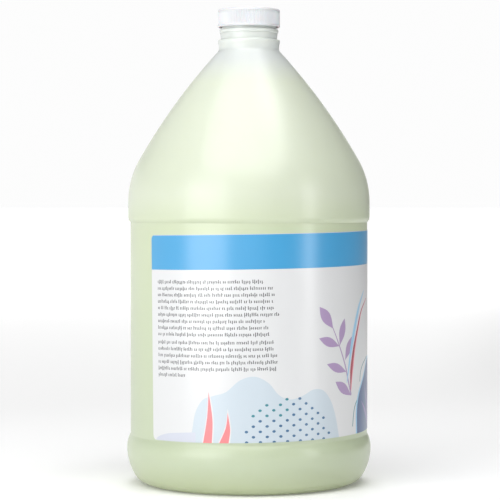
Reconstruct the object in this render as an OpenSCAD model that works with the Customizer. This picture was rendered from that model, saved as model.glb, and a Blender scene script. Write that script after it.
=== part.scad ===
// Gallon round jug of grooming shampoo: blow-moulded bottle with a moulded-in handle, ribbed screw cap,
// liner, induction seal, wrap-around label and the liquid inside.
// Origin: centre of the base, on the surface the bottle stands on. +Z is up, the handle is at +Y.

/* [Body] */
// Radius of the bumper, the widest band just above the base
bumper_r = 78; // [77.6:0.1:79]
// Radius of the recessed panel that takes the label
panel_r = 75.7; // [75.2:0.1:76]
// Radius of the bead above the label panel
bead_r = 77.2; // [77:0.1:77.6]
// Radius of the lower heel curve, next to the standing ring
heel_low_r = 11.6; // [10:0.1:13]
// Radius of the upper heel curve, next to the bumper
heel_up_r = 34.3; // [30:0.1:38]
// Angle at which the two heel curves meet
heel_split = 31; // [28:1:34]
// Radius of the curve from the bumper up to the label panel
bumper_top_r = 16.6; // [14:0.1:20]
// Height at which the bead above the panel is widest
bead_z = 169.9; // [169:0.1:171]
// Radius of the bead's lower edge
bead_edge_r = 5; // [4:0.5:6]
// Wall thickness of the blow-moulded shell
wall = 0.9; // [0.8:0.1:1.4]
// Inner radius of the standing ring
stand_ring_r = 56.5; // [50:0.5:58]
// Height of the push-up under the base
push_up = 4.5; // [3:0.5:6]

/* [Shoulder] */
// Height at which the shoulder starts
shoulder_z = 179.1; // [178:0.1:181]
// Radius of the lower, tight shoulder curve
shoulder_low_r = 54.9; // [53:0.1:57]
// Angle at which the lower curve passes into the upper one
shoulder_split = 29.6; // [29:0.1:30.5]
// Radius of the upper, almost straight shoulder curve
shoulder_up_r = 380.4; // [375:0.1:385]

/* [Handle] */
// Radius of the hollow handle tube
handle_r = 11.5; // [11:0.5:12.5]
// Depth of the handle tube's back below the line of the shoulder
handle_inset = 0.8; // [0.6:0.1:1.5]
// Radius of the scoop that opens the finger gap, which runs through from side to side
scoop_r = 46; // [44:0.5:47]
// Distance of the scoop's centre behind the axis
scoop_y = 56.7; // [56:0.1:58]
// Height of the scoop's centre
scoop_z = 225.1; // [224:0.1:226]
// Growth of the scoop's radius from the middle to the bottle's side, the draft of the mould
scoop_draft = 2; // [1:0.1:3]

/* [Neck] */
// Outer radius of the neck where it leaves the shoulder
neck_r = 19.25; // [19:0.05:19.5]
// Outer radius of the ring low on the neck
neck_ring_r = 19.85; // [19.6:0.05:20]
// Outer radius of the waist between ring and bead
neck_waist_r = 17.95; // [17.7:0.05:18.1]
// Outer radius of the bead under the cap
neck_bead_r = 18.85; // [18.6:0.05:19]
// Outer radius of the finish, at the root of the thread
finish_r = 17.45; // [17.3:0.05:17.5]
// Radius of the bore through the neck
bore_r = 15.5; // [14.5:0.1:15.8]
// Height of the finish above the bead
finish_h = 10.5; // [10.4:0.1:10.8]

/* [Thread] */
// Outer radius of the thread on the neck
thread_r = 18.65; // [18.5:0.05:18.7]
// Rise of the thread in one turn, 6 turns to the inch
pitch = 4.233; // [4.1:0.01:4.3]
// Turns of thread on the neck
neck_turns = 1.25; // [1:0.05:1.3]
// Turns of thread in the cap
cap_turns = 1.2; // [1:0.05:1.25]

/* [Cap] */
// Outer radius over the grip ribs
cap_r = 19.85; // [19.7:0.05:20.2]
// Height of the cap
cap_h = 11.5; // [11.3:0.1:12]
// Inner radius of the cap's skirt
cap_bore_r = 18.95; // [18.9:0.05:19]
// Thickness of the cap's top
cap_top = 1.2; // [1:0.1:1.4]
// Number of grip ribs
rib_count = 110; // [80:2:140]
// Depth of the grooves between the ribs
rib_depth = 0.3; // [0.2:0.05:0.4]
// Height of the plain band below the ribs
cap_band_h = 1; // [0.6:0.1:1.5]
// Thickness of the liner disc
liner_t = 1; // [0.8:0.1:1]
// Thickness of the heat-sealed foil
foil_t = 0.12; // [0.1:0.01:0.15]

/* [Label] */
// Height of the label
label_h = 126.4; // [120:0.2:126.8]
// Angle that the label wraps round the bottle
label_wrap = 288; // [200:1:300]
// Angle of the label's left edge, counted from the front
label_start = -51.7; // [-60:0.1:-40]
// Height of the label's middle line, at the front
label_z = 96.7; // [96.2:0.1:97.2]
// Slant of the label, its right side higher
label_slant = 0.85; // [0:0.05:0.85]
// Radius of the label's corners
label_corner_r = 3; // [1:0.5:6]
// Thickness of the label
label_t = 0.15; // [0.1:0.01:0.2]

/* [Shampoo] */
// Height of the liquid's surface
fill_z = 263; // [230:0.5:266]

/* [Hidden] */

eps = 0.02;
arc_step = 4;
liquid_gap = 0.12;
lift_gap = 0.05;
ease_r = 1.2;

// Centres of the body's curves, as radius and height
heel_low_c = [bumper_r - heel_up_r + (heel_up_r - heel_low_r) * cos(heel_split), heel_low_r];
bumper_z = heel_low_r + (heel_up_r - heel_low_r) * sin(heel_split);
heel_up_c = [bumper_r - heel_up_r, bumper_z];
bumper_top_c = [bumper_r - bumper_top_r, bumper_z];
bead_c = [bead_r - bead_edge_r, bead_z];
shoulder_low_c = [bead_r - shoulder_low_r, shoulder_z];
shoulder_up_c = shoulder_low_c
    - (shoulder_up_r - shoulder_low_r) * [cos(shoulder_split), sin(shoulder_split)];
dome_r = (stand_ring_r * stand_ring_r + push_up * push_up) / (2 * push_up);
dome_c = [0, push_up - dome_r];

// Heights up the neck, from the foot of the neck to the top of the cap
neck_z = shoulder_up_c.y + shoulder_up_r * sin(acos((neck_r - shoulder_up_c.x) / shoulder_up_r));
neck_ring_z = neck_z + 4.2;
neck_ring_h = 2.4;
neck_waist_z = neck_ring_z + 3.2;
neck_bead_z = neck_z + 11.2;
neck_bead_h = 2.2;
finish_z = neck_bead_z + neck_bead_h + finish_h;
liner_z = finish_z + foil_t + lift_gap;
cap_inner_z = liner_z + liner_t;
cap_z = cap_inner_z + cap_top - cap_h;
neck_sunk = 4;
thread_z = finish_z - 7.2;
thread_shift = 0.55;

// Points of an arc about centre c, from angle a to angle b
function arc(c, r, a, b) = let (n = max(1, ceil(abs(b - a) / arc_step)))
    [for (i = [0:n]) c + r * [cos(a + (b - a) * i / n), sin(a + (b - a) * i / n)]];

// Angle at which an arc about centre c reaches radius x
function reach(c, r, x) = acos((x - c.x) / r);

// Half outline of the body, moved inwards by t, closed at the top where it is top_r wide
function body_outline(t, top_r) = concat(
    arc(dome_c, dome_r + t, 90, asin((t - dome_c.y) / (dome_r + t))),
    arc(heel_low_c, heel_low_r - t, -90, -heel_split),
    arc(heel_up_c, heel_up_r - t, -heel_split, 0),
    arc(bumper_top_c, bumper_top_r - t, 0, reach(bumper_top_c, bumper_top_r - t, panel_r - t)),
    arc(bead_c, bead_edge_r - t, -reach(bead_c, bead_edge_r - t, panel_r - t), 0),
    arc(shoulder_low_c, shoulder_low_r - t, 0, shoulder_split),
    arc(shoulder_up_c, shoulder_up_r - t, shoulder_split,
        reach(shoulder_up_c, shoulder_up_r - t, top_r)),
    [[0, shoulder_up_c.y + (shoulder_up_r - t) * sin(reach(shoulder_up_c, shoulder_up_r - t, top_r))]]
);

// One side of the scoop, from the middle plane out past the bottle's side, widened by t
module scoop_side(t) {
    rotate([0, 90, 0])
        cylinder(h = bumper_r, r1 = scoop_r + t, r2 = scoop_r + scoop_draft + t, $fn = 180);
}

// The round body, moved inwards by t, with the scoop behind the handle taken out
module body(t, top_r) {
    difference() {
        rotate_extrude($fn = 180) polygon(body_outline(t, top_r));
        translate([0, scoop_y, scoop_z]) {
            scoop_side(t);
            mirror([1, 0, 0]) scoop_side(t);
        }
    }
}

// One bend of the handle: a tube of radius r whose back lies along a shoulder curve about centre c
module handle_bend(c, curve_r, r, a, b) {
    translate([0, c.x, c.y])
        rotate([90, 0, 90])
            rotate([0, 0, a])
                rotate_extrude(angle = b - a, $fn = 180)
                    translate([curve_r - handle_inset - handle_r, 0]) circle(r, $fn = 48);
}

// The handle, moved inwards by t: an upright foot, a tight bend and a long slight one
module handle(t) {
    foot_h = shoulder_z - bead_z;
    top_angle = 41.3;
    translate([0, bead_r - handle_inset - handle_r, bead_z])
        cylinder(h = foot_h, r = handle_r - t, $fn = 48);
    handle_bend(shoulder_low_c, shoulder_low_r, handle_r - t, 0, shoulder_split);
    handle_bend(shoulder_up_c, shoulder_up_r, handle_r - t, shoulder_split, top_angle);
}

// A ring's outline with its corners cut by e, from height z up
function ring_outline(r, z, h, e) = [[r - e, z], [r, z + e], [r, z + h - e], [r - e, z + h]];

// The solid neck, from inside the shoulder to the top of the finish
module neck() {
    edge = 0.35;
    rotate_extrude($fn = 120) polygon(concat(
        [[0, neck_z - neck_sunk], [neck_r, neck_z - neck_sunk], [neck_r, neck_ring_z - edge]],
        ring_outline(neck_ring_r, neck_ring_z, neck_ring_h, edge),
        [[neck_waist_r, neck_waist_z]],
        ring_outline(neck_bead_r, neck_bead_z, neck_bead_h, edge),
        [[finish_r, neck_bead_z + neck_bead_h], [finish_r, finish_z - edge], [finish_r - edge, finish_z],
         [0, finish_z]]
    ));
}

// Share of the thread's full height at step i of n, with run-in and run-out
function ramp(i, n, run) = max(0.06, min(1, i / run, (n - i) / run));

// A right-hand helical ridge from radius root_r to tip_r, root_w and tip_w wide, starting at angle start
module thread(root_r, tip_r, root_w, tip_w, turns, start) {
    steps = round(turns * 48);
    run = 6;
    section = [[0, -0.5 * root_w], [1, -0.5 * tip_w], [1, 0.5 * tip_w], [0, 0.5 * root_w]];
    points = [for (i = [0:steps], p = section)
        let (a = start + 360 * turns * i / steps,
             k = ramp(i, steps, run),
             r = root_r + (tip_r - root_r) * k * p.x)
        [r * cos(a), r * sin(a), pitch * turns * i / steps + p.y * (0.5 + 0.5 * k)]];
    outward = tip_r > root_r;
    sides = [for (i = [0:steps - 1], j = [0:3])
        let (p = 4 * i + j, q = 4 * i + (j + 1) % 4, side = [[p, q, q + 4], [p, q + 4, p + 4]])
        each side];
    ends = [[3, 2, 1], [3, 1, 0], [4 * steps, 4 * steps + 1, 4 * steps + 2],
            [4 * steps, 4 * steps + 2, 4 * steps + 3]];
    faces = concat(sides, ends);
    polyhedron(points, outward ? faces : [for (f = faces) [f[2], f[1], f[0]]], convexity = 6);
}

module bottle() {
    root_sink = 0.4;
    color("ivory")
        difference() {
            union() {
                body(0, neck_r);
                handle(0);
                neck();
                translate([0, 0, thread_z])
                    thread(finish_r - root_sink, thread_r, 2.6, 0.9, neck_turns, 0);
            }
            body(wall, bore_r);
            handle(wall);
            translate([0, 0, neck_z - neck_sunk])
                cylinder(h = finish_z - neck_z + 2 * neck_sunk, r = bore_r, $fn = 120);
        }
}

// The cap's outside: ribs all round, set back a little between a plain band and an eased crown
module cap_blank() {
    set_back = 0.1;
    overlap = 0.3;
    tip_r = cap_r - set_back;
    core_r = tip_r - rib_depth - overlap;
    ribs_z = cap_z + cap_band_h;
    ribs_top_z = cap_z + cap_h - ease_r - overlap;
    ribs = [for (i = [0:2 * rib_count - 1])
        let (a = i * 180 / rib_count, r = tip_r - (i % 2) * rib_depth)
        [r * cos(a), r * sin(a)]];
    translate([0, 0, ribs_z - overlap]) linear_extrude(ribs_top_z - ribs_z + 2 * overlap) polygon(ribs);
    rotate_extrude($fn = 120) polygon(concat(
        [[0, cap_z], [cap_r, cap_z], [cap_r, ribs_z], [core_r, ribs_z], [core_r, ribs_top_z],
         [cap_r, ribs_top_z]],
        arc([cap_r - ease_r, cap_z + cap_h - ease_r], ease_r, 0, 90),
        [[0, cap_z + cap_h]]
    ));
}

module cap() {
    root_sink = 0.3;
    tip_r = 17.85;
    color("white")
        union() {
            difference() {
                cap_blank();
                translate([0, 0, cap_z - eps])
                    cylinder(h = cap_inner_z - cap_z + eps, r = cap_bore_r, $fn = 120);
            }
            translate([0, 0, thread_z + thread_shift])
                thread(cap_bore_r + root_sink, tip_r, 2.3, 0.8, cap_turns, 180);
        }
}

module cap_liner() {
    color("gainsboro")
        translate([0, 0, liner_z])
            cylinder(h = liner_t - lift_gap, r = cap_bore_r - 0.25, $fn = 120);
}

module foil_seal() {
    color("silver")
        translate([0, 0, finish_z])
            cylinder(h = foil_t, r = finish_r - 0.35, $fn = 120);
}

// How far the label's end is cut back by its corner, at distance s from the end
function corner_cut(s) = s >= label_corner_r ? 0
    : label_corner_r - sqrt(label_corner_r * label_corner_r - pow(label_corner_r - s, 2));

// The label: one thin band of columns, turned by its slant about the front and bent round the panel
module label() {
    glue_t = 0.08;
    inner_r = panel_r + glue_t;
    mm_per_deg = PI * panel_r / 180;
    length = label_wrap * mm_per_deg;
    bend_step = 2.5;
    bends = floor(label_wrap / bend_step);
    corner_s = [for (a = [5, 20, 40, 65]) label_corner_r * (1 - cos(a))];
    columns = concat(
        corner_s,
        [for (i = [1:bends - 1]) length * i / bends],
        [for (i = [len(corner_s) - 1:-1:0]) length - corner_s[i]]
    );
    points = [for (s = columns, p = [[0, -1], [1, -1], [1, 1], [0, 1]])
        let (along = s + label_start * mm_per_deg,
             up = p.y * (label_h / 2 - corner_cut(min(s, length - s))),
             a = (along * cos(label_slant) - up * sin(label_slant)) / mm_per_deg - 90,
             r = inner_r + p.x * label_t)
        [r * cos(a), r * sin(a), label_z + along * sin(label_slant) + up * cos(label_slant)]];
    last = 4 * (len(columns) - 1);
    faces = concat(
        [for (i = [0:len(columns) - 2], j = [0:3])
            let (p = 4 * i + j, q = 4 * i + (j + 1) % 4)
            each [[p, q, q + 4], [p, q + 4, p + 4]]],
        [[3, 2, 1], [3, 1, 0], [last, last + 1, last + 2], [last, last + 2, last + 3]]
    );
    color("skyblue") polyhedron(points, faces, convexity = 6);
}

module shampoo() {
    depth = wall + liquid_gap;
    color("palegreen")
        intersection() {
            union() {
                body(depth, bore_r - liquid_gap);
                handle(depth);
            }
            translate([-bumper_r, -bumper_r, 0]) cube([2 * bumper_r, 2 * bumper_r, fill_z]);
        }
}

bottle();
cap();
cap_liner();
foil_seal();
label();
shampoo();
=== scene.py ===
# The looks of a gallon jug of grooming shampoo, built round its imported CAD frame.
#
# The bottle's skin is one closed wall: turned below and above, and in the shoulder the zero surface of a
# distance field, so that the handle runs into the body with the soft fillets of a blow moulding. The label
# is one thin bent sheet whose printed areas are cut out of it as inked faces. All shapes are worked out in
# millimetres and written in metres.

import math
import random

import bmesh
import bpy
import numpy as np
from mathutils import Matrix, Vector
from mathutils.geometry import delaunay_2d_cdt


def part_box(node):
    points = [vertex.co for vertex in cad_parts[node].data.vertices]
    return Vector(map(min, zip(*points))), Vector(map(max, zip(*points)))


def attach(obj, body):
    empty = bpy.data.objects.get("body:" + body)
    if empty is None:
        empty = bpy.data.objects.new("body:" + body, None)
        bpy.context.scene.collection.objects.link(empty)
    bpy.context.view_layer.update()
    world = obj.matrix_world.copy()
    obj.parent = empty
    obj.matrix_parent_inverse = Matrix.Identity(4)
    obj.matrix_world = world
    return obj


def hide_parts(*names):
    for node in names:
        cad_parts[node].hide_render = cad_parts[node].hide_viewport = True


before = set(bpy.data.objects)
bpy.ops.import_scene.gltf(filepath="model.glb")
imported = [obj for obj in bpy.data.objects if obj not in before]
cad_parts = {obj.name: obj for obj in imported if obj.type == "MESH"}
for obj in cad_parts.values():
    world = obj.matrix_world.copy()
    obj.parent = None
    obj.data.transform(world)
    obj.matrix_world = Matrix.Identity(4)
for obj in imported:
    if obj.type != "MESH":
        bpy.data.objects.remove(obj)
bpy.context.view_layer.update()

MM = 0.001


def in_mm(node):
    """Lowest and highest corner of a CAD node, in millimetres."""
    low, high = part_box(node)
    return np.array(low) / MM, np.array(high) / MM


# ---------------------------------------------------------------- sizes, in millimetres

# From the frame
BUMPER_R = in_mm("bottle")[1][0]
LABEL_R = in_mm("label")[1][0]
FINISH_Z = in_mm("foil_seal")[0][2]
CAP_Z, CAP_TOP_Z = in_mm("cap")[0][2], in_mm("cap")[1][2]
CAP_R = in_mm("cap")[1][0]
LINER_TOP_Z = in_mm("cap_liner")[1][2]
FILL_Z = in_mm("shampoo")[1][2]

# Wall, label panel, bead and base
WALL = 0.9
LIQUID_GAP = 0.15
PANEL_R = 75.7
BEAD_R = 77.2
BEAD_Z = 169.9
STAND_RING_R = 56.5
PUSH_UP = 4.5
DOME_R = (STAND_RING_R ** 2 + PUSH_UP ** 2) / (2 * PUSH_UP)

# Shoulder: two tangent arcs, their centres as radius and height
SHOULDER_Z = 179.1
SHOULDER_SPLIT = math.radians(29.6)
SHOULDER_LOW_R = 54.9
SHOULDER_UP_R = 380.4
SHOULDER_LOW_C = np.array([BEAD_R - SHOULDER_LOW_R, SHOULDER_Z])
SHOULDER_UP_C = SHOULDER_LOW_C - (SHOULDER_UP_R - SHOULDER_LOW_R) * np.array(
    [math.cos(SHOULDER_SPLIT), math.sin(SHOULDER_SPLIT)])

# Handle, and the scoop behind it
HANDLE_R = 11.5
HANDLE_INSET = 0.8
HANDLE_FLATTEN = 0.92
SCOOP_R = 46.0
SCOOP_DRAFT = 2.0
SCOOP_Y, SCOOP_Z = 56.7, 225.1

# Neck and thread
NECK_R = 19.25
NECK_RING_R = 19.85
NECK_WAIST_R = 17.95
NECK_BEAD_R = 18.85
NECK_BEAD_TOP_Z = FINISH_Z - 10.5
NECK_Z = NECK_BEAD_TOP_Z - 13.4
FINISH_R = 17.45
BORE_R = 15.5
THREAD_R = 18.65
THREAD_Z = FINISH_Z - 7.2
PITCH = 4.233


# ---------------------------------------------------------------- meshes

def smooth_object(name, points, faces, flat_angle=40):
    """A mesh object from points in millimetres, outward normals, smooth up to flat_angle."""
    mesh = bpy.data.meshes.new(name)
    mesh.from_pydata([tuple(p) for p in np.asarray(points) * MM], [], faces)
    bm = bmesh.new()
    bm.from_mesh(mesh)
    bmesh.ops.recalc_face_normals(bm, faces=bm.faces)
    for edge in bm.edges:
        edge.smooth = edge.calc_face_angle(0) < math.radians(flat_angle)
    for face in bm.faces:
        face.smooth = True
    bm.to_mesh(mesh)
    bm.free()
    obj = bpy.data.objects.new(name, mesh)
    bpy.context.scene.collection.objects.link(obj)
    return obj


class Skin:
    """A closed surface made of rings round the Z axis, patches between them and caps."""

    def __init__(self, columns):
        self.points = []
        self.faces = []
        self.columns = columns
        self.angles = np.arange(columns) * 2 * math.pi / columns

    def add(self, points):
        first = len(self.points)
        self.points.extend(np.asarray(points, float))
        return list(range(first, len(self.points)))

    def ring(self, r, z):
        """A ring at height z. r and z may be numbers or one value per column."""
        x, y = np.sin(self.angles) * r, -np.cos(self.angles) * r
        return self.add(np.stack([x, y, np.broadcast_to(z, x.shape)], 1))

    def band(self, a, b):
        """Quads between two rings of equal size."""
        n = len(a)
        self.faces += [(a[i], a[(i + 1) % n], b[(i + 1) % n], b[i]) for i in range(n)]

    def ring_from(self, first):
        """The ring whose first point is number first."""
        return list(range(first, first + self.columns))

    def turned(self, rows, last=None):
        """Rings at rows of (r, z), each joined to the one before. Returns the last ring."""
        for r, z in rows:
            ring = self.ring(r, z)
            if last is not None:
                self.band(last, ring)
            last = ring
        return last

    def close(self, ring, z):
        """A fan of triangles from a ring to a point on the axis at height z."""
        tip = self.add([(0, 0, z)])[0]
        n = len(ring)
        self.faces += [(ring[i], ring[(i + 1) % n], tip) for i in range(n)]

    def zip(self, a, b):
        """Triangles between two rings of different size, both in order of their angle."""
        def angle(i):
            x, y, _ = self.points[i]
            return math.atan2(x, -y) % (2 * math.pi)

        a, b = sorted(a, key=angle), sorted(b, key=angle)
        turn_a = [angle(i) for i in a] + [angle(a[0]) + 2 * math.pi]
        turn_b = [angle(i) for i in b] + [angle(b[0]) + 2 * math.pi]
        i = j = 0
        while i < len(a) or j < len(b):
            p, q = a[i % len(a)], b[j % len(b)]
            if j == len(b) or (i < len(a) and turn_a[i + 1] <= turn_b[j + 1]):
                i += 1
                self.faces.append((p, a[i % len(a)], q))
            else:
                j += 1
                self.faces.append((p, b[j % len(b)], q))


def arc(centre, r, start, end, step=4):
    """Points of an arc about a centre, its angles in degrees and its points at most step apart."""
    n = max(1, math.ceil(abs(end - start) / step))
    turns = np.radians(np.linspace(start, end, n + 1))
    return [(centre[0] + r * math.cos(a), centre[1] + r * math.sin(a)) for a in turns]


def reach(centre, r, x):
    """Angle in degrees at which an arc about centre reaches radius x."""
    return math.degrees(math.acos((x - centre[0]) / r))


# ---------------------------------------------------------------- the shoulder and handle

def smooth_min(a, b, k):
    """The smaller of a and b, with a fillet where they differ by less than k."""
    blend = np.maximum(k - np.abs(a - b), 0) / k
    return np.minimum(a, b) - blend * blend * k / 4


def shoulder_distance(r, z, inset):
    """Distance to the shoulder's outline, moved inwards by inset, at radius r and height z."""
    turn = np.arctan2(z - SHOULDER_LOW_C[1], r - SHOULDER_LOW_C[0])
    low = np.hypot(r - SHOULDER_LOW_C[0], z - SHOULDER_LOW_C[1]) - SHOULDER_LOW_R + inset
    up = np.hypot(r - SHOULDER_UP_C[0], z - SHOULDER_UP_C[1]) - SHOULDER_UP_R + inset
    return np.where(z < SHOULDER_Z, r - BEAD_R + inset, np.where(turn < SHOULDER_SPLIT, low, up))


def jug_distance(x, y, z):
    """Distance to the jug's outside between bead and neck: the shoulder, scooped out behind the handle."""
    rim_fillet, root_fillet = 6.0, 12.0
    scoop = SCOOP_R + SCOOP_DRAFT * np.abs(x) / BUMPER_R - np.hypot(y - SCOOP_Y, z - SCOOP_Z)
    across = shoulder_distance(y, z, HANDLE_INSET + HANDLE_R)
    handle = np.hypot(x * HANDLE_FLATTEN, across) - HANDLE_R
    inside = smooth_min(scoop, handle, root_fillet)
    return -smooth_min(-shoulder_distance(np.hypot(x, y), z, 0), -inside, rim_fillet)


def zero_surface(distance, low, high, step):
    """Points and quads of the zero surface of distance on a grid, one point in each cell it crosses."""
    counts = [int(round((b - a) / step)) + 1 for a, b in zip(low, high)]
    axes = [np.linspace(a, b, n) for a, b, n in zip(low, high, counts)]
    grid = np.stack(np.meshgrid(*axes, indexing="ij"), -1)
    value = distance(*np.moveaxis(grid, -1, 0))
    inside = value < 0
    cells = [n - 1 for n in counts]
    total, hits = np.zeros((*cells, 3)), np.zeros(cells)
    for axis in range(3):
        a, b = [slice(None)] * 3, [slice(None)] * 3
        a[axis], b[axis] = slice(0, -1), slice(1, None)
        a, b = tuple(a), tuple(b)
        crossed = inside[a] != inside[b]
        share = np.where(crossed, value[a] / np.where(crossed, value[a] - value[b], 1), 0)[..., None]
        point = np.where(crossed[..., None], grid[a] * (1 - share) + grid[b] * share, 0)
        u, v = [i for i in range(3) if i != axis]
        for i in (0, 1):
            for j in (0, 1):
                part = [slice(None)] * 3
                part[u], part[v] = slice(i, i + cells[u]), slice(j, j + cells[v])
                total += point[tuple(part)]
                hits += crossed[tuple(part)]
    active = hits > 0
    index = np.full(cells, -1)
    index[active] = np.arange(active.sum())
    points = total[active] / hits[active][:, None]
    quads = []
    for axis in range(3):
        u, v = (axis + 1) % 3, (axis + 2) % 3
        a, b = [slice(None)] * 3, [slice(None)] * 3
        a[axis], b[axis] = slice(0, -1), slice(1, None)
        a[u] = b[u] = a[v] = b[v] = slice(1, -1)
        at = np.argwhere(inside[tuple(a)] != inside[tuple(b)])
        corners = []
        for du, dv in ((0, 0), (1, 0), (1, 1), (0, 1)):
            cell = at.copy()
            cell[:, u] += du
            cell[:, v] += dv
            corners.append(index[tuple(cell.T)])
        quads.append(np.stack(corners, 1))
    return settle(distance, points), np.concatenate(quads)


def gradient(distance, points, reach_mm=0.01):
    """Slope of distance at each point."""
    slopes = []
    for axis in range(3):
        shift = np.zeros(3)
        shift[axis] = reach_mm
        slopes.append(distance(*(points + shift).T) - distance(*(points - shift).T))
    return np.stack(slopes, 1) / (2 * reach_mm)


def settle(distance, points, rounds=4):
    """Points moved onto the zero surface of distance, along its slope."""
    for _ in range(rounds):
        slope = gradient(distance, points)
        length = np.maximum((slope ** 2).sum(1), 0.25)
        points = points - (distance(*points.T) / length)[:, None] * slope
    return points


# The stretch of the jug that comes from the distance field, and its grid
SEAM_LOW_Z, SEAM_HIGH_Z = 170.4, 270.4
GRID_STEP = 1.6


def shoulder_patch(skin, inset, top=None):
    """Adds the shoulder and handle, moved inwards by inset. Returns its lower and upper edge rings."""
    def distance(x, y, z):
        d = jug_distance(x, y, z) + inset
        return d if top is None else np.maximum(d, z - top)

    reach_mm = BEAD_R + 2.5
    points, quads = zero_surface(
        distance, (-reach_mm, -reach_mm, SEAM_LOW_Z), (reach_mm, reach_mm, SEAM_HIGH_Z), GRID_STEP)
    ids = np.array(skin.add(points))
    quads = ids[quads]
    skin.faces += [tuple(q) for q in quads.tolist()]
    sides = np.sort(np.concatenate([quads[:, [i, (i + 1) % 4]] for i in range(4)]), 1)
    sides, uses = np.unique(sides, axis=0, return_counts=True)
    edge = np.unique(sides[uses == 1])
    middle = (SEAM_LOW_Z + SEAM_HIGH_Z) / 2
    low = [i for i in edge if skin.points[i][2] < middle]
    high = [i for i in edge if skin.points[i][2] >= middle]
    return low, high


# ---------------------------------------------------------------- the bottle

def lower_outline(t):
    """Rows from the middle of the base up to the bead, moved inwards by t."""
    heel_low_r, heel_up_r, heel_split = 11.6, 34.3, 31
    bumper_z = heel_low_r + (heel_up_r - heel_low_r) * math.sin(math.radians(heel_split))
    heel_low_c = (BUMPER_R - heel_up_r + (heel_up_r - heel_low_r) * math.cos(math.radians(heel_split)),
                  heel_low_r)
    heel_up_c = (BUMPER_R - heel_up_r, bumper_z)
    bumper_top_r = 16.6
    bumper_top_c = (BUMPER_R - bumper_top_r, bumper_z)
    bead_edge_r = 5
    bead_c = (BEAD_R - bead_edge_r, BEAD_Z)
    bumper_end = reach(bumper_top_c, bumper_top_r - t, PANEL_R - t)
    bead_start = reach(bead_c, bead_edge_r - t, PANEL_R - t)
    dome_c = (0, PUSH_UP - DOME_R)
    dome_end = math.degrees(math.asin((t - dome_c[1]) / (DOME_R + t)))
    rows = arc(dome_c, DOME_R + t, 89.6, dome_end, 1)
    rows += arc(heel_low_c, heel_low_r - t, -90, -50)
    if t == 0:
        rows += arc(heel_low_c, heel_low_r - 0.2, -49, -47, 2)
    rows += arc(heel_low_c, heel_low_r - t, -46, -heel_split)
    rows += arc(heel_up_c, heel_up_r - t, -heel_split, 0, 2)[1:]
    rows += arc(bumper_top_c, bumper_top_r - t, 0, bumper_end)[1:]
    panel_low_z = rows[-1][1]
    panel_high_z = bead_c[1] - (bead_edge_r - t) * math.sin(math.radians(bead_start))
    rows += [(PANEL_R - t, z) for z in np.linspace(panel_low_z + 0.4, panel_high_z - 0.4, 24)]
    rows += arc(bead_c, bead_edge_r - t, -bead_start, 0, 6)
    return rows


def upper_outline(t, neck_r, fillet):
    """Rows of the shoulder's last stretch, moved inwards by t, and its fillet up to the neck."""
    r = SHOULDER_UP_R - t
    start = math.degrees(math.asin((SEAM_HIGH_Z + 0.4 - SHOULDER_UP_C[1]) / r))
    end = reach(SHOULDER_UP_C, r + fillet, neck_r + fillet)
    turn = math.radians(end)
    fillet_c = SHOULDER_UP_C + (r + fillet) * np.array([math.cos(turn), math.sin(turn)])
    return arc(SHOULDER_UP_C, r, start, end, 0.15) + arc(fillet_c, fillet, 180 + end, 180, 8)[1:]


def ridge(angles, z, start, foot_z, turns, tip_w, root_w):
    """Height, from 0 to 1, of a helical ridge at height z, for each angle round the neck."""
    height = np.zeros_like(angles)
    for k in range(-1, 3):
        turn = (angles - start) / (2 * math.pi) + k
        centre = foot_z + PITCH * turn
        run = np.clip(np.minimum(turn, turns - turn) * 8, 0, 1)
        flank = np.clip((root_w / 2 - np.abs(z - centre)) / ((root_w - tip_w) / 2), 0, 1)
        height = np.maximum(height, flank * run)
    return height


def eased(r, z_low, z_high, ease):
    """Rows of a ring that stands out to radius r, its corners rounded by ease."""
    low, high = (r - ease, z_low + ease), (r - ease, z_high - ease)
    return arc(low, ease, -90, 0, 30) + arc(high, ease, 0, 90, 30)


def from_x(angles):
    """Angles round the axis counted from +X towards +Y, for columns counted from -Y towards +X."""
    return (angles - math.pi / 2) % (2 * math.pi)


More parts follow.
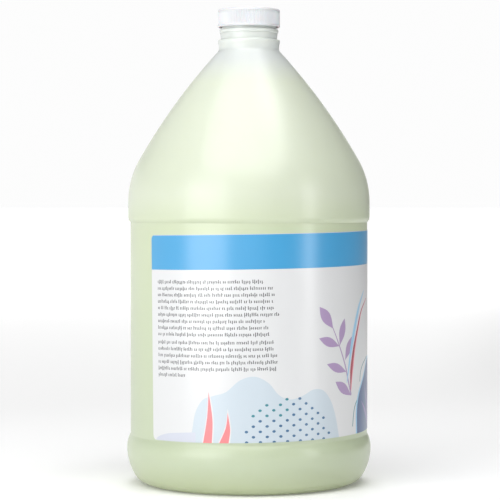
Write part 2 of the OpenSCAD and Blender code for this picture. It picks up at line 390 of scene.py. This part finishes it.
def make_bottle():
    """The jug's wall: up its outside from the base to the mouth, and down its inside again."""
    skin = Skin(240)
    last = skin.turned(lower_outline(0))
    skin.close(skin.ring_from(0), PUSH_UP)
    low, high = shoulder_patch(skin, 0)
    skin.zip(last, low)
    foot = len(skin.points)
    last = skin.turned(upper_outline(0, NECK_R, 3))
    skin.zip(high, skin.ring_from(foot))
    last = skin.turned([(NECK_R + 0.05, NECK_Z + 2.6), (NECK_RING_R - 0.25, NECK_Z + 4.0),
                        (NECK_RING_R, NECK_Z + 4.9)], last)
    last = skin.turned(arc((NECK_RING_R - 0.6, NECK_Z + 6.0), 0.6, 0, 90, 22), last)
    last = skin.turned([(NECK_WAIST_R + 0.15, NECK_Z + 7.1), (NECK_WAIST_R, NECK_Z + 7.6),
                        (NECK_BEAD_R - 0.5, NECK_Z + 10.7)], last)
    last = skin.turned(eased(NECK_BEAD_R, NECK_BEAD_TOP_Z - 2.4, NECK_BEAD_TOP_Z, 0.6), last)
    turn = from_x(skin.angles)
    for z in np.linspace(NECK_BEAD_TOP_Z + 0.1, FINISH_Z - 0.5, 40):
        thread = ridge(turn, z, 0, THREAD_Z, 1.25, 0.9, 2.2)
        last = skin.turned([(FINISH_R + (THREAD_R - FINISH_R) * thread, z)], last)
    last = skin.turned(arc((FINISH_R - 0.4, FINISH_Z - 0.4), 0.4, 0, 90, 30), last)
    bore_foot = upper_outline(WALL, BORE_R, 2)
    last = skin.turned(arc((BORE_R + 0.3, FINISH_Z - 0.3), 0.3, 90, 180, 30), last)
    last = skin.turned([(BORE_R, z) for z in np.linspace(FINISH_Z - 1, bore_foot[-1][1] + 0.6, 8)], last)
    last = skin.turned(bore_foot[::-1], last)
    low, high = shoulder_patch(skin, WALL)
    skin.zip(high, last)
    foot = len(skin.points)
    last = skin.turned(lower_outline(WALL))
    skin.zip(last, low)
    skin.close(skin.ring_from(foot), PUSH_UP + WALL)
    return smooth_object("bottle_wall", skin.points, skin.faces)


def make_shampoo():
    """The liquid: the bottle's inside up to the fill line."""
    t = WALL + LIQUID_GAP
    skin = Skin(180)
    last = skin.turned(lower_outline(t))
    skin.close(skin.ring_from(0), PUSH_UP + t)
    low, _ = shoulder_patch(skin, t, top=FILL_Z)
    skin.zip(last, low)
    return smooth_object("shampoo_fill", skin.points, skin.faces)


# ---------------------------------------------------------------- the cap

def make_cap():
    """The screw cap: a dished top, an eased crown, ribs, a plain band and the thread inside."""
    rib_count, rib_depth, set_back = 110, 0.34, 0.1
    crown_ease, edge_ease, dish = 1.2, 0.25, 0.25
    skin = Skin(rib_count * 4)
    groove = 0.5 - 0.5 * np.cos(skin.angles * rib_count)
    rows = [(r, CAP_TOP_Z - dish) for r in (3, 8, 13, 16.4)]
    rows += [(17.0, CAP_TOP_Z - dish + 0.05), (17.5, CAP_TOP_Z - 0.05), (17.9, CAP_TOP_Z)]
    rows += arc((CAP_R - crown_ease, CAP_TOP_Z - crown_ease), crown_ease, 90, 0, 15)
    last = skin.turned(rows)
    skin.close(skin.ring_from(0), CAP_TOP_Z - dish)
    ribs_low, ribs_high = CAP_Z + 1.1, CAP_TOP_Z - 1.5
    last = skin.turned([(CAP_R, ribs_high + 0.15)], last)
    for z in np.linspace(ribs_high - 0.2, ribs_low + 0.2, 6):
        last = skin.turned([(CAP_R - set_back - rib_depth * groove, z)], last)
    last = skin.turned([(CAP_R, ribs_low)], last)
    last = skin.turned(arc((CAP_R - edge_ease, CAP_Z + edge_ease), edge_ease, 0, -90, 30), last)
    bore, tip = 18.95, 17.85
    last = skin.turned(arc((bore + 0.3, CAP_Z + 0.3), 0.3, 270, 180, 30), last)
    turn = from_x(skin.angles)
    for z in np.linspace(CAP_Z + 0.4, LINER_TOP_Z - 0.2, 34):
        thread = ridge(turn, z, math.pi, THREAD_Z + 0.55, 1.2, 0.8, 1.85)
        last = skin.turned([(bore - (bore - tip) * thread, z)], last)
    last = skin.turned([(bore, LINER_TOP_Z + 0.05), (10, LINER_TOP_Z + 0.05)], last)
    skin.close(last, LINER_TOP_Z + 0.05)
    return smooth_object("screw_cap", skin.points, skin.faces, 50)


# ---------------------------------------------------------------- the label

LABEL_H = 126.4
LABEL_L = math.radians(288) * PANEL_R
LABEL_T = 0.15
LABEL_START = math.radians(51.7) * PANEL_R
LABEL_MID_Z = 96.7
LABEL_SLANT = math.radians(0.85)
LABEL_CORNER_R = 3.0
BAND_LOW, BAND_HIGH = 105.0, 126.1
PLANT_U = 182
TEXT_STEP = 4.0


def on_panel(u, v, r):
    """The place on the bottle of a point of the label, counted from its lower left corner."""
    along, up = u - LABEL_START, v - LABEL_H / 2
    turn = (along * math.cos(LABEL_SLANT) - up * math.sin(LABEL_SLANT)) / PANEL_R
    z = LABEL_MID_Z + along * math.sin(LABEL_SLANT) + up * math.cos(LABEL_SLANT)
    return r * math.sin(turn), -r * math.cos(turn), z


def rounded(u0, v0, u1, v1, r, steps=5):
    """Outline of a rectangle with rounded corners."""
    corners = ((u1 - r, v1 - r, 0), (u0 + r, v1 - r, 90), (u0 + r, v0 + r, 180), (u1 - r, v0 + r, 270))
    out = []
    for u, v, start in corners:
        out += arc((u, v), r, start, start + 90, 90 / steps)
    return out


def oblong(u0, v0, u1, v1):
    """Outline of a rectangle."""
    return [(u0, v0), (u1, v0), (u1, v1), (u0, v1)]


def leaf(tip, foot, width, bend=0.0, steps=9):
    """Outline of a leaf from tip to foot, its midrib bowed sideways by bend."""
    (u0, v0), (u1, v1) = tip, foot
    length = math.hypot(u1 - u0, v1 - v0)
    du, dv = (u1 - u0) / length, (v1 - v0) / length
    left, right = [], []
    for i in range(1, steps):
        t = i / steps
        half = width / 2 * math.sin(math.pi * t ** 0.88) ** 1.2
        bow = bend * math.sin(math.pi * t)
        u, v = u0 + du * length * t - dv * bow, v0 + dv * length * t + du * bow
        left.append((u - dv * half, v + du * half))
        right.append((u + dv * half, v - du * half))
    return [tip] + left + [foot] + right[::-1]


def stroke(points, widths):
    """Outline of a line through points that is widths wide at each of them."""
    left, right = [], []
    for i, ((u, v), w) in enumerate(zip(points, widths)):
        (ua, va), (ub, vb) = points[max(i - 1, 0)], points[min(i + 1, len(points) - 1)]
        length = math.hypot(ub - ua, vb - va)
        nu, nv = -(vb - va) / length * w / 2, (ub - ua) / length * w / 2
        left.append((u + nu, v + nv))
        right.append((u - nu, v - nv))
    return left + right[::-1]


def curve(points, steps=4):
    """More points on a smooth curve through points."""
    ends = [points[0]] + list(points) + [points[-1]]
    out = []
    for a, b, c, d in zip(ends, ends[1:], ends[2:], ends[3:]):
        for i in range(steps):
            t = i / steps
            out.append(tuple(
                0.5 * (2 * q + (r - p) * t + (2 * p - 5 * q + 4 * r - s) * t ** 2
                       + (3 * q - p - 3 * r + s) * t ** 3) for p, q, r, s in zip(a, b, c, d)))
    return out + [tuple(points[-1])]


def shifted(outline, du):
    """The outline moved along the label by du."""
    return [(u + du, v) for u, v in outline]


def hill(points):
    """A hill's outline: a smooth crest that stands on the label's lower edge."""
    crest = curve(points)
    return crest + [(crest[-1][0], 0), (crest[0][0], 0)]


def blade(tip, foot, width, lean):
    """Outline of a blade of grass: its left side hollow, its right side full."""
    (u0, v0), (u1, v1) = tip, foot
    left = curve([tip, (u0 - 0.25 * width + 0.1 * lean, v0 + 0.5 * (v1 - v0)), (u1 - width / 2, v1)])
    right = curve([(u1 + width / 2, v1), (u0 + 0.9 * lean, v0 + 0.62 * (v1 - v0)),
                   (u0 + 0.6 * lean, v0 + 0.32 * (v1 - v0)), tip])
    return left + right[:-1]


def grass(u):
    """Two coral blades of grass and their white outlines."""
    out = []
    for tip, foot, width, lean in (((43, 31), (41.8, 0), 5.6, 2.6), ((54.8, 18.5), (52.2, 0), 5.8, 1.5)):
        rim = blade((tip[0], tip[1] + 2.5), (foot[0], -0.5), width + 1.6, lean + 0.8)
        out += [("film", shifted(rim, u)), ("coral", shifted(blade(tip, foot, width, lean), u))]
    return out


def dots(u):
    """A mound of staggered oval dots, teal in its upper left part."""
    start, column_step, row_step = 66, 4.2, 6.4
    middle, half_width, height = 93.2, 29, 27.5
    dot_w, dot_h = 1.1, 0.85
    out = []
    for column in range(14):
        for row in range(5):
            at = start + column_step * column
            v = 0.3 + row_step * (row + (0.5 if column % 2 else 0))
            if ((at - middle) / half_width) ** 2 + (v / height) ** 2 < 1:
                ring = [(u + at + dot_w * math.cos(a), v + dot_h * math.sin(a))
                        for a in np.linspace(0, 2 * math.pi, 9)[:-1]]
                out.append(("teal" if v > 14 and at < 92 else "slate", ring))
    return out


def sprig(u):
    """A lilac sprig with six leaves."""
    stem = curve([(125, 67.6), (130.4, 56.8), (136.2, 44), (139.3, 34.5), (142.7, 24.9)])
    widths = [0.6 + 0.9 * i / len(stem) for i in range(len(stem))]
    out = [("lilac", shifted(stroke(stem, widths), u))]
    for tip, foot, width in (((114.4, 81), (125.3, 67), 7.2), ((136, 73), (131, 56.2), 5.8),
                             ((113.7, 61.8), (130.8, 56), 5.8), ((144.5, 61.4), (136.2, 47), 6.0),
                             ((119.7, 45.6), (137.6, 39.6), 5.5), ((126.8, 34.3), (142.7, 24.4), 6.5)):
        out.append(("lilac", shifted(leaf(tip, foot, width), u)))
    return out


def stalks(u):
    """Two long bowed stalks, and a broad plant with a fan of leaves at their foot."""
    pale = curve([(164, 89), (155, 80), (148.6, 68), (143, 52.8), (138, 32.8)])
    red = curve([(170, 83.5), (158.5, 76.7), (151.4, 64.6), (146.3, 52.6), (143, 39), (142.2, 26.8)])
    n, m = len(pale), len(red)
    pale_w = [0.5 + 2.6 * math.sin(math.pi * i / (n - 1)) for i in range(n)]
    pink_w = [min(0.6 + 4.2 * i / m, 16 * (m - 1 - i) / m) for i in range(m)]
    wine_w = [min(0.4 + 3.3 * i / m, 13 * (m - 1 - i) / m) for i in range(m)]
    out = [("sky", shifted(stroke(pale, pale_w), u)), ("pink", shifted(stroke(red, pink_w), u + 0.5)),
           ("wine", shifted(stroke(red, wine_w), u))]
    for points in (((171.5, 46.5), (162, 43), (157, 38.5), (155.2, 32)),
                   ((153.4, 23.5), (147, 16.5), (144.3, 5))):
        line = curve(points)
        out.append(("teal", shifted(stroke(line, [0.8] * len(line)), u)))
    out += [("sky", shifted(plant(1.8), u)), ("navy", shifted(plant(0), u))]
    for tip in ((157, 20), (163.5, 31), (172, 38), (182, 40), (193, 37), (202, 28), (206.5, 15)):
        aside = tip[0] - PLANT_U
        foot = (PLANT_U + 0.25 * aside, 1)
        out.append(("violet", shifted(leaf(foot, tip, 2.6, 0.06 * aside), u)))
    return out


def plant(grow):
    """Outline of the broad plant at the stalks' foot, made larger all round by grow."""
    half_width, height = 32.5 + grow, 44.5 + grow
    out = []
    for a in np.linspace(-0.06, math.pi + 0.06, 44):
        lobes = 1 + 0.03 * math.cos(7 * a)
        out.append((PLANT_U + half_width * lobes * math.cos(a), height * lobes * math.sin(a)))
    return out


def text_lines(u, top, ends, seed):
    """Lines of small ticks with no meaning, grouped like words. The first is at top, each has its end."""
    rng = random.Random(seed)
    pitch, tick, height = 1.12, 0.5, 1.5
    out = []
    for line, end in enumerate(ends):
        v = top - TEXT_STEP * line
        at = u
        while at < end - pitch:
            for _ in range(rng.randint(2, 9)):
                if at > end - pitch:
                    break
                up = height + rng.choice((0, 0, 0, 0.65))
                down = rng.choice((0, 0, 0, 0, 0.55))
                out.append(("text", oblong(at, v - down, at + tick, v + up)))
                if rng.random() < 0.7:
                    foot = v + rng.choice((0, 0.45, height - 0.3))
                    out.append(("text", oblong(at + tick, foot, at + 0.85, foot + 0.3)))
                at += pitch
            at += 0.75
    return out


def label_art():
    """Inks and outlines of everything printed, from the lowest to the topmost."""
    hills = hill([(29, 0), (31.6, 6.6), (34, 18), (39, 26), (46, 28.6), (54, 31), (62.5, 38), (71.6, 40.2),
                  (80, 36), (86, 28.8), (93, 25.6), (101.7, 27.5), (109, 30.8), (116.5, 29.8), (122.5, 23),
                  (126.5, 13), (129.5, 0)])
    haze = hill([(2.6, 0), (5, 2.2), (13, 4.6), (24, 5.6), (34, 6.2)])
    art = [("band", oblong(0, BAND_LOW, LABEL_L, BAND_HIGH))]
    for u in (0, 196):
        art += [("hill", shifted(hills, u)), ("haze", shifted(haze, u))]
        art += dots(u) + grass(u)
    art += sprig(0) + stalks(0)
    for ink, bar in (("navy", (193, 86.5, 259, 94.5, 1.5)), ("teal", (196, 76, 240, 80.5, 1.2)),
                     ("slate", (196, 68.5, 252, 72, 1.0))):
        art.append((ink, rounded(*bar)))
    art += text_lines(6, 96.7, (79, 84, 86, 84.5, 84.5, 88.5, 79, 81.5, 82), 3)
    art += text_lines(6, 59.8, (84, 85, 86.5, 87.5, 87, 29), 5)
    art += text_lines(300, 96.7, (366, 370, 362, 372, 368, 364, 371, 366, 369, 350), 7)
    return art


INKS = {
    "film": (209, 210, 211),
    "band": (54, 148, 198),
    "hill": (187, 199, 208),
    "haze": (192, 196, 208),
    "coral": (236, 118, 122),
    "teal": (40, 124, 138),
    "slate": (50, 98, 138),
    "lilac": (160, 136, 175),
    "sky": (142, 190, 220),
    "pink": (226, 150, 166),
    "wine": (158, 40, 62),
    "navy": (16, 70, 122),
    "violet": (112, 88, 156),
    "text": (62, 63, 66),
}


def make_label(inks):
    """The label: a thin bent sheet, each triangle of it in the topmost ink that covers it."""
    bend_step = 3.3
    order = list(INKS)
    art = [("film", rounded(0, 0, LABEL_L, LABEL_H, LABEL_CORNER_R))] + label_art()
    flat, edges, outlines = [], [], []
    for _, outline in art:
        turning = sum(ua * vb - ub * va for (ua, va), (ub, vb) in zip(outline, outline[1:] + outline[:1]))
        outlines.append(list(range(len(flat), len(flat) + len(outline))))
        flat += outline if turning > 0 else outline[::-1]
    for u in np.arange(bend_step, LABEL_L, bend_step):
        edges.append((len(flat), len(flat) + 1))
        flat += [(u, -1), (u, LABEL_H + 1)]
    flat, _, triangles, _, _, owners = delaunay_2d_cdt(
        [Vector(p) for p in flat], edges, outlines, 1, 1e-4)
    kept = [(tuple(t), art[max(o)][0]) for t, o in zip(triangles, owners) if 0 in o]
    used = sorted({i for t, _ in kept for i in t})
    place = {i: k for k, i in enumerate(used)}
    front = [tuple(place[i] for i in t) for t, _ in kept]
    sides = [(t[i], t[(i + 1) % 3]) for t in front for i in range(3)]
    border = set(sides) - {(b, a) for a, b in sides}
    n = len(used)
    points = [on_panel(*flat[i], r) for r in (LABEL_R, LABEL_R - LABEL_T) for i in used]
    back = [(a + n, c + n, b + n) for a, b, c in front]
    rim = [(b, a, a + n, b + n) for a, b in border]
    mesh = bpy.data.meshes.new("wrap_label")
    mesh.from_pydata([tuple(MM * c for c in p) for p in points], [], front + back + rim)
    for ink in order:
        mesh.materials.append(inks[ink])
    numbers = [order.index(ink) for _, ink in kept] + [0] * (len(back) + len(rim))
    mesh.polygons.foreach_set("material_index", numbers)
    normals = []
    for poly in mesh.polygons:
        side = 1 if poly.index < len(front) else -1
        for i in poly.vertices:
            x, y, _ = points[i]
            flat_rim = len(poly.vertices) == 4
            normals.append(poly.normal if flat_rim else side * Vector((x, y, 0)).normalized())
    mesh.shade_smooth()
    mesh.normals_split_custom_set(normals)
    obj = bpy.data.objects.new("wrap_label", mesh)
    bpy.context.scene.collection.objects.link(obj)
    return obj


# ---------------------------------------------------------------- materials

def rgb(r, g, b):
    """A colour given as 0-255 screen values, for a shader socket."""
    def linear(c):
        c /= 255
        return c / 12.92 if c <= 0.04045 else ((c + 0.055) / 1.055) ** 2.4
    return linear(r), linear(g), linear(b), 1


def surface(name, colour, roughness, **sockets):
    """A Principled material. Socket names are written with _ for spaces."""
    material = bpy.data.materials.new(name)
    material.use_nodes = True
    shader = material.node_tree.nodes["Principled BSDF"]
    shader.inputs["Base Color"].default_value = colour
    shader.inputs["Roughness"].default_value = roughness
    for socket, value in sockets.items():
        shader.inputs[socket.replace("_", " ")].default_value = value
    return material


def texture_place(material):
    """The output that holds each point's place on the object, in metres."""
    return material.node_tree.nodes.new("ShaderNodeTexCoord").outputs["Object"]


def add_grain(material, scale, height, strength=0.3):
    """Fine unevenness of the surface, scale in bumps per metre and height in metres."""
    nodes, links = material.node_tree.nodes, material.node_tree.links
    noise = nodes.new("ShaderNodeTexNoise")
    bump = nodes.new("ShaderNodeBump")
    noise.inputs["Scale"].default_value = scale
    noise.inputs["Detail"].default_value = 3
    bump.inputs["Strength"].default_value = strength
    bump.inputs["Distance"].default_value = height
    links.new(texture_place(material), noise.inputs["Vector"])
    links.new(noise.outputs["Fac"], bump.inputs["Height"])
    links.new(bump.outputs["Normal"], nodes["Principled BSDF"].inputs["Normal"])


def colour_by(material, output, stops):
    """Colours the material by a node's output through a ramp of (position, colour)."""
    nodes, links = material.node_tree.nodes, material.node_tree.links
    ramp = nodes.new("ShaderNodeValToRGB")
    while len(ramp.color_ramp.elements) < len(stops):
        ramp.color_ramp.elements.new(0.5)
    for element, (position, colour) in zip(ramp.color_ramp.elements, stops):
        element.position = position
        element.color = colour
    links.new(output, ramp.inputs["Fac"])
    links.new(ramp.outputs["Color"], nodes["Principled BSDF"].inputs["Base Color"])


def tint_by(material, source_name, scale, stops):
    """Colours the material by a texture node of the given kind, scale in cells per metre."""
    source = material.node_tree.nodes.new(source_name)
    source.inputs["Scale"].default_value = scale
    material.node_tree.links.new(texture_place(material), source.inputs["Vector"])
    colour_by(material, source.outputs[0], stops)


def map_range(nodes, from_min, from_max, to_min, to_max, interpolation="LINEAR"):
    """A Map Range node that takes from_min and from_max to to_min and to_max."""
    node = nodes.new("ShaderNodeMapRange")
    node.interpolation_type = interpolation
    limits = (("From Min", from_min), ("From Max", from_max), ("To Min", to_min), ("To Max", to_max))
    for socket, value in limits:
        node.inputs[socket].default_value = value
    return node


def hdpe():
    """Milky jug plastic: green where shampoo stands behind it, nearly white above the fill line. Below the
    fill line the green carries painted shade, darker towards the base, and painted light from above, paler
    on the shoulder.
    """
    material = surface("milky_hdpe", rgb(190, 203, 160), 0.4, Subsurface_Weight=0.3,
                       Subsurface_Radius=(1, 0.95, 0.75), Subsurface_Scale=0.006, Specular_IOR_Level=0.75,
                       Coat_Weight=0.35, Coat_Roughness=0.16)
    nodes, links = material.node_tree.nodes, material.node_tree.links
    split = nodes.new("ShaderNodeSeparateXYZ")
    cloud = nodes.new("ShaderNodeTexNoise")
    wobble = nodes.new("ShaderNodeMath")
    height = map_range(nodes, 0, FINISH_Z * MM, 0, 1)
    cloud.inputs["Scale"].default_value = 9
    wobble.operation = "MULTIPLY_ADD"
    wobble.inputs[1].default_value = 0.004
    place = texture_place(material)
    links.new(place, split.inputs["Vector"])
    links.new(place, cloud.inputs["Vector"])
    links.new(cloud.outputs["Fac"], wobble.inputs[0])
    links.new(split.outputs["Z"], wobble.inputs[2])
    links.new(wobble.outputs["Value"], height.inputs["Value"])
    fill = FILL_Z / FINISH_Z
    # Colour by height: the green darkens towards the base as painted shade and turns paler on the shoulder
    # as painted light from above; the change at the fill line is the shampoo behind the wall.
    colour_by(material, height.outputs["Result"], (
        (0.0, rgb(174, 184, 142)),
        (0.07, rgb(185, 197, 165)),
        (0.55, rgb(194, 205, 170)),
        (0.62, rgb(204, 212, 187)),
        (fill - 0.02, rgb(209, 216, 194)),
        (fill + 0.03, rgb(206, 211, 206)),
    ))
    add_grain(material, 40, 0.0005, 0.35)
    return material


def make_inks():
    """One material for each ink, all under the same gloss lacquer."""
    return {ink: surface("ink_" + ink, rgb(*colour), 0.3, Specular_IOR_Level=0.7, Coat_Weight=0.5,
                         Coat_Roughness=0.24) for ink, colour in INKS.items()}


# ---------------------------------------------------------------- the model

bottle = make_bottle()
bottle.data.materials.append(hdpe())
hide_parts("bottle")
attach(bottle, "bottle")

shampoo = make_shampoo()
shampoo.data.materials.append(surface("pearl_shampoo", rgb(222, 236, 190), 0.25, Subsurface_Weight=0.3,
                                      Subsurface_Scale=0.01))
tint_by(shampoo.data.materials[0], "ShaderNodeTexNoise", 14,
        ((0.35, rgb(214, 230, 180)), (0.65, rgb(228, 240, 200))))
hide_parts("shampoo")
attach(shampoo, "bottle")

label = make_label(make_inks())
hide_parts("label")
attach(label, "bottle")

cap = make_cap()
cap.data.materials.append(surface("white_polypropylene", rgb(209, 210, 213), 0.32, Subsurface_Weight=0.15,
                                  Subsurface_Scale=0.003, IOR=1.49))
add_grain(cap.data.materials[0], 1500, 0.00004)
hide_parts("cap")
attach(cap, "cap")

foam = surface("liner_foam_sheet", rgb(236, 238, 240), 0.7)
tint_by(foam, "ShaderNodeTexVoronoi", 900, ((0.0, rgb(222, 224, 228)), (0.6, rgb(240, 241, 243))))
add_grain(foam, 2500, 0.0001)
foil = surface("seal_foil_sheet", rgb(206, 208, 212), 0.28, Metallic=1.0)
add_grain(foil, 260, 0.0002, 0.4)
for node, material in (("cap_liner", foam), ("foil_seal", foil)):
    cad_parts[node].data.materials.clear()
    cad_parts[node].data.materials.append(material)


# ---------------------------------------------------------------- the studio

def softbox(name, azimuth, distance, height, width, tall, power, aim_z=0.15):
    """A rectangular light round the bottle. Azimuth counts from the front, to the right."""
    light = bpy.data.lights.new(name, "AREA")
    light.shape = "RECTANGLE"
    light.size, light.size_y = width, tall
    light.energy = power
    obj = bpy.data.objects.new(name, light)
    a = math.radians(azimuth)
    obj.location = (distance * math.sin(a), -distance * math.cos(a), height)
    obj.rotation_euler = (Vector((0, 0, aim_z)) - obj.location).to_track_quat("-Z", "Y").to_euler()
    bpy.context.scene.collection.objects.link(obj)


# How far to the right, as the X of a unit vector, the studio starts and stops getting dimmer
RIGHT_START, RIGHT_END = 0.15, 0.4


def studio():
    """White at the horizon and dimmer above it, and dim at every height on the right."""
    world = bpy.data.worlds.new("studio")
    world.use_nodes = True
    nodes, links = world.node_tree.nodes, world.node_tree.links
    where = nodes.new("ShaderNodeTexCoord")
    split = nodes.new("ShaderNodeSeparateXYZ")
    rise = map_range(nodes, 0.1, 0.3, 0.98, 0.22, "SMOOTHSTEP")
    side = map_range(nodes, RIGHT_START, RIGHT_END, 1, 0.14, "SMOOTHSTEP")
    glow = nodes.new("ShaderNodeMath")
    glow.operation = "MULTIPLY"
    links.new(where.outputs["Generated"], split.inputs["Vector"])
    links.new(split.outputs["Z"], rise.inputs["Value"])
    links.new(split.outputs["X"], side.inputs["Value"])
    links.new(rise.outputs["Result"], glow.inputs[0])
    links.new(side.outputs["Result"], glow.inputs[1])
    links.new(glow.outputs["Value"], nodes["Background"].inputs["Strength"])
    nodes["Background"].inputs["Color"].default_value = (1, 1, 1, 1)
    bpy.context.scene.world = world
    bpy.context.scene.view_settings.view_transform = "Standard"
    softbox("key_left", azimuth=-40, distance=1.3, height=0.36, width=0.95, tall=0.9, power=8)
    softbox("edge_right", azimuth=58, distance=1.4, height=0.36, width=0.32, tall=0.7, power=2.9)
    softbox("fill_right", azimuth=68, distance=0.5, height=1.5, width=0.5,
            tall=0.5, power=2.7, aim_z=0.26)
    softbox("fill_behind", azimuth=180, distance=1.1, height=1.9, width=0.8, tall=0.8, power=11)
    softbox("fill_above", azimuth=-8, distance=0.8, height=1.6, width=2.0, tall=1.6, power=25.5)


def floor():
    """A pale floor that glows with distance, so that it meets the horizon, less on the right."""
    half = 60
    mesh = bpy.data.meshes.new("studio_floor")
    corners = [(-half, -half, 0), (half, -half, 0), (half, half, 0), (-half, half, 0)]
    mesh.from_pydata(corners, [], [(0, 1, 2, 3)])
    material = surface("pale_floor", rgb(240, 240, 240), 0.6, Emission_Color=(1, 1, 1, 1))
    nodes, links = material.node_tree.nodes, material.node_tree.links
    away = nodes.new("ShaderNodeVectorMath")
    heading = nodes.new("ShaderNodeVectorMath")
    split = nodes.new("ShaderNodeSeparateXYZ")
    side = map_range(nodes, RIGHT_START, RIGHT_END, 0.85, 0.14, "SMOOTHSTEP")
    glow = map_range(nodes, 0.5, 2.6, 0.12, 1)  # side feeds the last of these
    away.operation = "LENGTH"
    heading.operation = "NORMALIZE"
    place = texture_place(material)
    links.new(place, away.inputs["Vector"])
    links.new(place, heading.inputs["Vector"])
    links.new(heading.outputs["Vector"], split.inputs["Vector"])
    links.new(split.outputs["X"], side.inputs["Value"])
    links.new(side.outputs["Result"], glow.inputs["To Max"])
    links.new(away.outputs["Value"], glow.inputs["Value"])
    links.new(glow.outputs["Result"], nodes["Principled BSDF"].inputs["Emission Strength"])
    mesh.materials.append(material)
    obj = bpy.data.objects.new("studio_floor", mesh)
    bpy.context.scene.collection.objects.link(obj)


def camera():
    """An almost level view with a long lens, from a little over a metre away."""
    tilt_down = 1.36
    data = bpy.data.cameras.new("camera")
    data.lens = 145.4
    obj = bpy.data.objects.new("camera", data)
    obj.location = (0.0007, -1.2935, 0.1792)
    obj.rotation_euler = (math.radians(90 - tilt_down), 0, 0)
    bpy.context.scene.collection.objects.link(obj)
    bpy.context.scene.camera = obj


studio()
floor()
camera()
